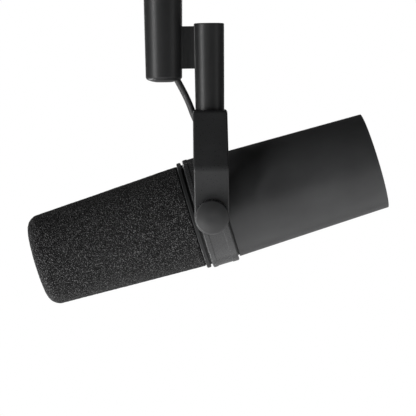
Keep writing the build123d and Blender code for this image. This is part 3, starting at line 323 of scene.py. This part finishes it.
finishes = {
    "casting_enamel": enamel("casting_enamel", (0.01, 0.0102, 0.0106), 0.42, 1400, 0.00002, gloss_level=0.3),
    "yoke_enamel": enamel("yoke_enamel", (0.031, 0.0314, 0.0322), 0.32, 1600, 0.000015, gloss_level=0.45),
    "band_enamel": enamel("band_enamel", (0.035, 0.0354, 0.0362), 0.27, 1600, 0.00001, gloss_level=0.42),
    "shell_enamel": enamel("shell_enamel", (0.032, 0.0324, 0.0332), 0.4, 1800, 0.00003, gloss_level=0.32),
    "base_enamel": enamel("base_enamel", (0.016, 0.0162, 0.0168), 0.5, 1600, 0.000015, gloss_level=0.25),
    "plate_enamel": enamel("plate_enamel", (0.024, 0.025, 0.027), 0.5, 1500, 0.00002),
    "knob_plastic": moulding("knob_plastic", (0.017, 0.0172, 0.0177), 0.4),
    "black_moulding": moulding("black_moulding", (0.015, 0.015, 0.016), 0.4),
    "slider_plastic": moulding("slider_plastic", (0.42, 0.42, 0.43), 0.38),
    "capacitor_case": moulding("capacitor_case", (0.5, 0.16, 0.06), 0.3),
    "nylon": moulding("nylon", (0.03, 0.03, 0.03), 0.5),
    "film": moulding("film", (0.62, 0.58, 0.46), 0.25),
    "brass": metal("brass", (0.66, 0.5, 0.24), 0.32),
    "plated_pins": metal("plated_pins", (0.85, 0.68, 0.34), 0.2),
    "black_steel": metal("black_steel", (0.05, 0.05, 0.053), 0.42),
    "zinc_steel": metal("zinc_steel", (0.56, 0.57, 0.59), 0.34),
    "plain_aluminium": metal("plain_aluminium", (0.68, 0.69, 0.71), 0.36),
    "mesh_steel": metal("mesh_steel", (0.12, 0.12, 0.125), 0.4),
    "magnet_alloy": metal("magnet_alloy", (0.4, 0.4, 0.41), 0.45),
    "core_steel": metal("core_steel", (0.13, 0.13, 0.14), 0.5),
    "rubber": rubber("rubber", (0.014, 0.014, 0.014), 0.62),
    "cable_jacket": rubber("cable_jacket", (0.014, 0.014, 0.015), 0.48),
    "copper": winding("copper", (0.62, 0.27, 0.12)),
    "board_laminate": laminate("board_laminate", (0.02, 0.13, 0.05)),
    "foam": open_foam("foam", (0.0062, 0.0062, 0.0064)),
}

node_slots = {part["node"]: part["material_slot"] for part in frame["record"]["subparts"]}


def wear(piece, slot):
    """Give a piece its slot's finish."""
    piece.data.materials.clear()
    piece.data.materials.append(finishes[slot])


for node, piece in frame["nodes"].items():
    wear(piece, node_slots[node])


def finish_piece(piece, slot, body, *nodes):
    """Finish a new piece, let it ride and let it stand for its CAD nodes."""
    wear(piece, slot)
    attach(piece, body)
    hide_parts(*nodes)


def mesh_piece(name, vertices, faces, smooth=True):
    """A new mesh object with its normals facing out."""
    mesh = bpy.data.meshes.new(name)
    mesh.from_pydata(vertices, [], faces)
    work = bmesh.new()
    work.from_mesh(mesh)
    bmesh.ops.recalc_face_normals(work, faces=work.faces)
    work.to_mesh(mesh)
    work.free()
    for polygon in mesh.polygons:
        polygon.use_smooth = smooth
    piece = bpy.data.objects.new(name, mesh)
    bpy.context.scene.collection.objects.link(piece)
    return piece


def ring_faces(rows, sides, closed=False):
    """Quads between rows of points; closed joins the last row to the first, and else both ends are capped."""
    faces = []
    for row in range(rows if closed else rows - 1):
        here, there = row * sides, (row + 1) % rows * sides
        for turn in range(sides):
            next_turn = (turn + 1) % sides
            faces.append((here + turn, here + next_turn, there + next_turn, there + turn))
    if not closed:
        last = (rows - 1) * sides
        faces.append(tuple(range(sides)))
        faces.append(tuple(range(last, last + sides)))
    return faces


# ------------------------------------------------------------------ foam windscreen

# Stations along the head's axis from the pivot, and radii from that axis, in mm
FOAM_FRONT = -97.15
FOAM_END = -10.8
FOAM_FRONT_R = 24.35
FOAM_END_R = 27.8
FOAM_DOME = 0.7
FOAM_NOSE_R = 6.8
FOAM_HEEL_R = 1.0
FOAM_BORE_R = 20.4
FOAM_BORE_FRONT = -87.5
FOAM_STEP = 1.0  # spacing of the skin's points, mm
FOAM_INSIDE_STEP = 3.0
FOAM_PORE = 0.13  # how far the skin is pitted, mm
FOAM_SWELL = 0.1  # slow waviness of the skin, mm
FOAM_TURN = 180  # points round the axis
FOAM_AXIS_R = 0.6  # radius of the skin's first ring, mm
FOAM_PORES_PER_M = 900
FOAM_SWELLS_PER_M = 60
FOAM_SWELL_SHIFT = Vector((3, 7, 1))  # keeps the waviness apart from the pores
NOSE_OUT = 0.25  # how far the nose's curve stands out past the front radius, mm
NOSE_FORWARD = 0.35  # and how far forward
HEEL_IN = 0.1  # how far the heel's curve is drawn in, mm
NOSE_STEPS = 12
HEEL_STEPS = 6


def arc(centre, radius, start, end, count):
    """Points of an arc as (radius, station), angles in degrees from the radial direction."""
    angles = [math.radians(start + (end - start) * k / count) for k in range(count + 1)]
    return [(centre[0] + radius * math.cos(a), centre[1] + radius * math.sin(a)) for a in angles]


def evenly(start, end, step):
    """Points from start to end, the last left out."""
    count = max(1, round(math.dist(start, end) / step))
    return [tuple(a + (b - a) * k / count for a, b in zip(start, end)) for k in range(count)]


def foam_outline():
    """The windscreen's section, as its pitted skin and its smooth inside."""
    lean = math.degrees(math.atan((FOAM_END_R - FOAM_FRONT_R) / (FOAM_END - FOAM_FRONT)))
    nose = (FOAM_FRONT_R - FOAM_NOSE_R + NOSE_OUT, FOAM_FRONT + FOAM_DOME + FOAM_NOSE_R - NOSE_FORWARD)
    nose_arc = arc(nose, FOAM_NOSE_R, -90, -lean, NOSE_STEPS)
    heel = (FOAM_END_R - FOAM_HEEL_R - HEEL_IN, FOAM_END - FOAM_HEEL_R)
    heel_arc = arc(heel, FOAM_HEEL_R, -lean, 90, HEEL_STEPS)
    rim_r, rim_station = nose_arc[0]
    spokes = [r for r, _ in evenly((FOAM_AXIS_R, FOAM_FRONT), nose_arc[0], FOAM_STEP)]
    front = [(r, FOAM_FRONT + (rim_station - FOAM_FRONT) * (r / rim_r) ** 2) for r in spokes]
    side = evenly(nose_arc[-1], heel_arc[0], FOAM_STEP)[1:]
    back = evenly(heel_arc[-1], (FOAM_BORE_R, FOAM_END), FOAM_STEP)[1:]
    bore = evenly((FOAM_BORE_R, FOAM_END), (FOAM_BORE_R, FOAM_BORE_FRONT), FOAM_INSIDE_STEP)
    floor = evenly((FOAM_BORE_R, FOAM_BORE_FRONT), (FOAM_AXIS_R, FOAM_BORE_FRONT), FOAM_INSIDE_STEP)
    skin = front + nose_arc + side + heel_arc + back
    return skin, bore + floor + [(FOAM_AXIS_R, FOAM_BORE_FRONT)]


def pitted(point):
    """How far the foam's skin stands out at a point, in mm."""
    pores = noise.noise(point * FOAM_PORES_PER_M) * FOAM_PORE
    swell = noise.noise(point * FOAM_SWELLS_PER_M + FOAM_SWELL_SHIFT) * FOAM_SWELL
    return pores + swell


def make_foam():
    """The windscreen's outline turned round the head's axis, pitted on its skin."""
    skin, inside = foam_outline()
    outline = skin + inside
    vertices = []
    for row, (radius, station) in enumerate(outline):
        before = outline[max(row - 1, 0)]
        after = outline[min(row + 1, len(outline) - 1)]
        run = Vector((after[0] - before[0], after[1] - before[1])).normalized()
        for turn in range(FOAM_TURN):
            angle = 2 * math.pi * turn / FOAM_TURN
            ray = sideways * math.cos(angle) + upward * math.sin(angle)
            spot = pivot + (ray * radius + rearward * station) * MM
            if row < len(skin):
                normal = ray * run.y - rearward * run.x
                spot = spot + normal * pitted(spot) * MM
            vertices.append(spot)
    return mesh_piece("foam_windscreen_skin", vertices, ring_faces(len(outline), FOAM_TURN))


foam = make_foam()
finish_piece(foam, "foam", "windscreen", "foam_windscreen")

# ------------------------------------------------------------------ stand thread

THREAD_MINOR_R = 4.0
THREAD_MAJOR_R = 4.55
THREAD_PITCH = 25.4 / 16
THREAD_DEPTH = 15.0
THREAD_OUTER_R = 6.0
THREAD_TURN = 48  # points round the bore
THREAD_ROWS = 10  # rows of points to each pitch
THREAD_CREST = 0.1875  # where a flank leaves the crest, as a share of half a pitch
THREAD_ROOT = 0.8125  # and where it meets the root
THREAD_MOUTH = 0.9  # countersink at the thread's mouth, mm


def thread_radius(depth, turn):
    """Radius of the threaded bore at a depth and a fraction of a turn, in mm."""
    phase = (depth / THREAD_PITCH + turn) % 1.0
    groove = 1 - abs(2 * phase - 1)
    cut = min(1.0, max(0.0, (groove - THREAD_CREST) / (THREAD_ROOT - THREAD_CREST)))
    radius = THREAD_MINOR_R + (THREAD_MAJOR_R - THREAD_MINOR_R) * cut
    if depth < THREAD_MOUTH:
        radius = max(radius, THREAD_MAJOR_R + THREAD_MOUTH - depth)
    return radius


def thread_ring(depth):
    """Points of the threaded bore at one depth, as (radius, depth)."""
    return [(thread_radius(depth, turn / THREAD_TURN), depth) for turn in range(THREAD_TURN)]


def make_thread():
    """The stem's threaded bush, its outer wall plain."""
    rows = round(THREAD_DEPTH / THREAD_PITCH * THREAD_ROWS)
    rings = [thread_ring(THREAD_DEPTH * row / rows) for row in range(rows + 1)]
    rings.append([(THREAD_OUTER_R, THREAD_DEPTH)] * THREAD_TURN)
    rings.append([(THREAD_OUTER_R, 0.0)] * THREAD_TURN)
    vertices = []
    for spots in rings:
        for turn, (radius, depth) in enumerate(spots):
            angle = 2 * math.pi * turn / THREAD_TURN
            vertices.append(Vector((radius * math.cos(angle), radius * math.sin(angle), -depth)) * MM)
    faces = ring_faces(len(rings), THREAD_TURN, closed=True)
    return mesh_piece("stand_thread_insert", vertices, faces, smooth=False)


finish_piece(make_thread(), "brass", "mount", "thread_insert")

# ------------------------------------------------------------------ lead

LEAD_R = 1.75
LEAD_ENTRY = 11.6
LEAD_DROP_IN = 4.2  # height above the shell at which the lead turns down into the head
LEAD_STEPS = 10  # points read between the route's points
LEAD_SIDES = 20
SHELL_START = 7.8  # the rear shell's taper: stations of its ends and their radii, mm
SHELL_END = 91.3
SHELL_START_R = 28.1
SHELL_END_R = 26.0
shell_taper = (SHELL_START_R - SHELL_END_R) / (SHELL_END - SHELL_START)
shell_up = SHELL_START_R - shell_taper * (LEAD_ENTRY - SHELL_START)
lead_route = [
    Vector((-24.2, 0, -10.8)) * MM,
    Vector((-22.6, 0, -20.3)) * MM,
    Vector((-17.0, 0, -30.2)) * MM,
    Vector((-11.35, 0, -41.2)) * MM,
    Vector((-8.0, 0, -51.1)) * MM,
    Vector((-3.0, 0, -59.1)) * MM,
    head_place(0, shell_up + LEAD_DROP_IN, LEAD_ENTRY),
    head_place(0, 18.5, LEAD_ENTRY),
    head_place(0, 8.6, LEAD_ENTRY + 3.6),
    head_place(0, 0.8, LEAD_ENTRY + 10.5),
]


def smooth_line(name, route):
    """Points along the NURBS line that a route's points control."""
    curve = bpy.data.curves.new(name, "CURVE")
    curve.dimensions = "3D"
    curve.resolution_u = LEAD_STEPS
    spline = curve.splines.new("NURBS")
    spline.points.add(len(route) - 1)
    for control, spot in zip(spline.points, route):
        control.co = (*spot, 1)
    spline.order_u = 3
    spline.use_endpoint_u = True
    holder = bpy.data.objects.new(name, curve)
    bpy.context.scene.collection.objects.link(holder)
    bpy.context.view_layer.update()
    read = bpy.data.meshes.new_from_object(holder)
    points = [vertex.co.copy() for vertex in read.vertices]
    bpy.data.objects.remove(holder)
    bpy.data.meshes.remove(read)
    return points


def tube_mesh(name, points, radius):
    """A closed tube of a radius in mm round a line in the middle plane."""
    vertices = []
    for row, spot in enumerate(points):
        before = points[max(row - 1, 0)]
        after = points[min(row + 1, len(points) - 1)]
        along = (after - before).normalized()
        across = along.cross(sideways)
        for turn in range(LEAD_SIDES):
            angle = 2 * math.pi * turn / LEAD_SIDES
            ray = sideways * math.cos(angle) + across * math.sin(angle)
            vertices.append(spot + ray * radius * MM)
    return mesh_piece(name, vertices, ring_faces(len(points), LEAD_SIDES))


lead_line = smooth_line("lead_line", lead_route)
lead = tube_mesh("lead_jacket", lead_line, LEAD_R)
wear(lead, "cable_jacket")
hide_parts("lead_cable")
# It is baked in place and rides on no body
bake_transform(lead)

# ------------------------------------------------------------------ floor and light

FLOOR_DROP = 0.42
FLOOR_GLOW = 1.1
FLOOR_SIDE = 2.2  # how far the floor reaches to each side and to the front, m
FLOOR_BACK = 0.22
PALE = (0.9, 0.9, 0.9, 1)
WHITE = (1, 1, 1, 1)
floor_z = cad_box[0][2] - FLOOR_DROP
floor_mesh = bpy.data.meshes.new("floor")
floor_corners = [
    (-FLOOR_SIDE, -FLOOR_SIDE, floor_z),
    (FLOOR_SIDE, -FLOOR_SIDE, floor_z),
    (FLOOR_SIDE, FLOOR_BACK, floor_z),
    (-FLOOR_SIDE, FLOOR_BACK, floor_z),
]
floor_mesh.from_pydata(floor_corners, [], [(0, 1, 2, 3)])
floor = bpy.data.objects.new("floor", floor_mesh)
bpy.context.scene.collection.objects.link(floor)
pale, _, pale_shader, _ = new_material("pale_floor")
pale_shader.inputs["Base Color"].default_value = PALE
pale_shader.inputs["Roughness"].default_value = 0.9
pale_shader.inputs["Emission Color"].default_value = WHITE
pale_shader.inputs["Emission Strength"].default_value = FLOOR_GLOW
floor.data.materials.append(pale)


def softbox(name, place, width, height, watts):
    """A rectangular area light, in metres, turned to the pivot and unseen by the camera."""
    data = bpy.data.lights.new(name, "AREA")
    data.shape = "RECTANGLE"
    data.size = width
    data.size_y = height
    data.energy = watts
    light = bpy.data.objects.new(name, data)
    light.location = place
    light.rotation_euler = (pivot - Vector(place)).to_track_quat("-Z", "Y").to_euler()
    light.visible_camera = False
    bpy.context.scene.collection.objects.link(light)


softbox("left_strip", (-1.25, -0.72, -0.1), 0.18, 1.1, 17)
softbox("left_low_strip", (-0.46, 0.33, -0.53), 0.42, 0.14, 3.2)
softbox("right_strip", (1.25, -0.75, -0.1), 0.2, 1.0, 2)
softbox("front_low_box", (-0.35, -0.9, -0.5), 0.3, 0.3, 1.5)
softbox("rear_right_box", (0.55, 1.2, 0.4), 0.3, 0.8, 2)
softbox("rear_left_box", (-0.55, 1.2, 0.4), 0.3, 0.8, 2)

# Plain white to the camera, and a dim ceiling over a brighter horizon as light
world = bpy.data.worlds.new("studio")
world.use_nodes = True
bpy.context.scene.world = world
sky = world.node_tree
lit = sky.nodes["Background"]
direction = sky.nodes.new("ShaderNodeTexCoord").outputs["Generated"]
split = sky.nodes.new("ShaderNodeSeparateXYZ")
sky.links.new(direction, split.inputs["Vector"])
rise = sky.nodes.new("ShaderNodeMapRange")
rise.inputs["From Min"].default_value = -1.0
sky.links.new(split.outputs["Z"], rise.inputs["Value"])
# Brightness from straight down, at 0, past the horizon, at 0.5, to straight up, at 1
glow = [(0.0, 0.5), (0.35, 0.4), (0.47, 0.2), (0.52, 0.07), (0.6, 0.016), (0.87, 0.007)]
height = ramp(sky, rise.outputs["Result"], glow)
sky.links.new(height, lit.inputs["Color"])
seen = sky.nodes.new("ShaderNodeBackground")
seen.inputs["Color"].default_value = WHITE
choice = sky.nodes.new("ShaderNodeMixShader")
sky.links.new(sky.nodes.new("ShaderNodeLightPath").outputs["Is Camera Ray"], choice.inputs["Fac"])
sky.links.new(lit.outputs["Background"], choice.inputs[1])
sky.links.new(seen.outputs["Background"], choice.inputs[2])
sky.links.new(choice.outputs["Shader"], sky.nodes["World Output"].inputs["Surface"])

bpy.context.scene.view_settings.view_transform = "Standard"
